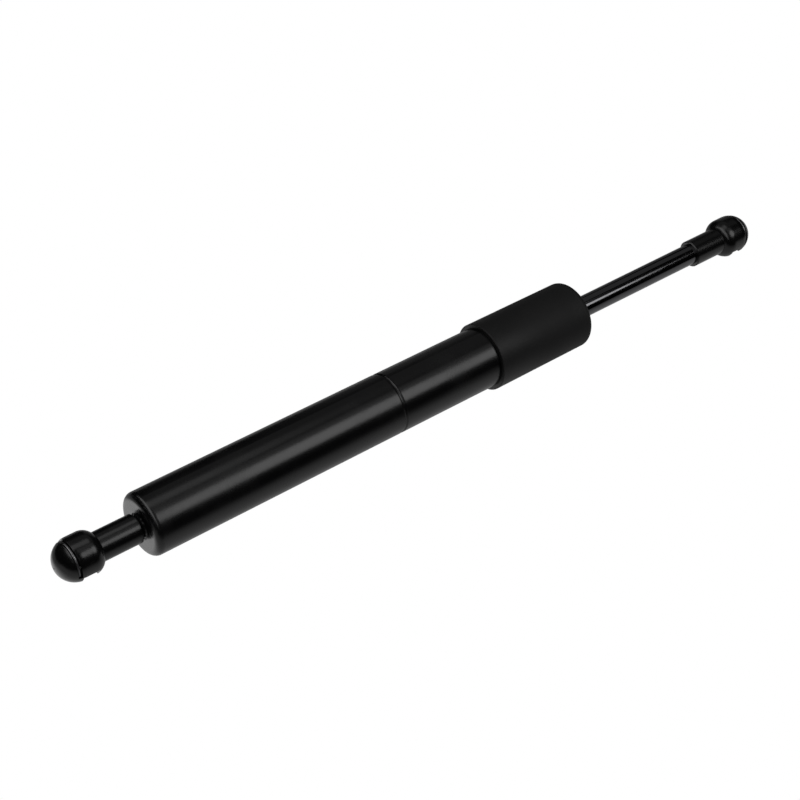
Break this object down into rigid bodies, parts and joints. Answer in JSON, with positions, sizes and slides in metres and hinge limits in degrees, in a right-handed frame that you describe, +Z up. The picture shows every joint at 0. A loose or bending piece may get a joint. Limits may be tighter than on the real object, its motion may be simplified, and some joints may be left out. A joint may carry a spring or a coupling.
{
  "type": "gas strut stay",
  "caption": "Sealed gas spring with a sliding, turning rod, a plastic guard sleeve and a ball socket at each end, to hold up a hinged window, flap or shutter.",
  "frame": {"origin": "ball centre of the tube-end socket", "axes": "+X along the strut from the tube end to the rod end; +Z up; both ball sockets open along -Z"},
  "size_m": [0.3903, 0.0316, 0.0316],
  "materials": {
    "tube_paint": "semi-gloss black paint",
    "sleeve_plastic": "matt black moulded",
    "socket_plastic": "satin black glass-filled nylon",
    "clip_wire": "dark phosphated spring wire",
    "rod_finish": "polished, dark nitrided",
    "plated_steel": "zinc plated",
    "guide_aluminium": "turned",
    "bush_bronze": "bronze with dry-film lining",
    "seal_rubber": "matt black rubber",
    "buffer_rubber": "matt black rubber",
    "ring_plastic": "filled PTFE",
    "piston_steel": "sintered steel",
    "valve_brass": "turned",
    "disc_steel": "rolled strip"
  },
  "bodies": {
    "cylinder": {"pressure_tube": "tube_paint", "end_stud": "plated_steel", "tube_end_socket": "socket_plastic", "protective_sleeve": "sleeve_plastic", "retaining_disc": "plated_steel", "back_up_washer": "plated_steel", "guide_bush": "bush_bronze", "rod_seal": "seal_rubber", "rod_guide": "guide_aluminium", "guide_o_ring": "seal_rubber", "partition": "guide_aluminium", "partition_o_ring": "seal_rubber", "bimetal_discs": "disc_steel", "disc_retainer": "plated_steel"},
    "sliding_ring": {"piston_ring": "ring_plastic"},
    "rod": {"piston_rod": "rod_finish", "stop_buffer": "buffer_rubber", "piston_washer": "plated_steel", "piston": "piston_steel", "flow_disc": "plated_steel", "rod_end_socket": "socket_plastic"},
    "tube_clip": {"tube_end_clip": "clip_wire"},
    "rod_clip": {"rod_end_clip": "clip_wire"},
    "poppet": {"valve_poppet": "valve_brass"}
  },
  "joints": [
    {"name": "rod_slide", "type": "slide", "parent": "cylinder", "child": "sliding_ring", "axis": [1, 0, 0], "range_m": [-0.07, 0]},
    {"name": "rod_turn", "type": "hinge", "parent": "sliding_ring", "child": "rod", "pos_m": [0.2, 0, 0], "axis": [1, 0, 0], "continuous": true},
    {"name": "tube_clip_pull", "type": "slide", "parent": "cylinder", "child": "tube_clip", "axis": [-0.0349, 0, 0.9994], "range_m": [0, 0.003]},
    {"name": "rod_clip_pull", "type": "slide", "parent": "rod", "child": "rod_clip", "axis": [0.0349, 0, 0.9994], "range_m": [0, 0.003]},
    {"name": "poppet_lift", "type": "slide", "parent": "cylinder", "child": "poppet", "axis": [1, 0, 0], "range_m": [0, 0.0006]}
  ]
}
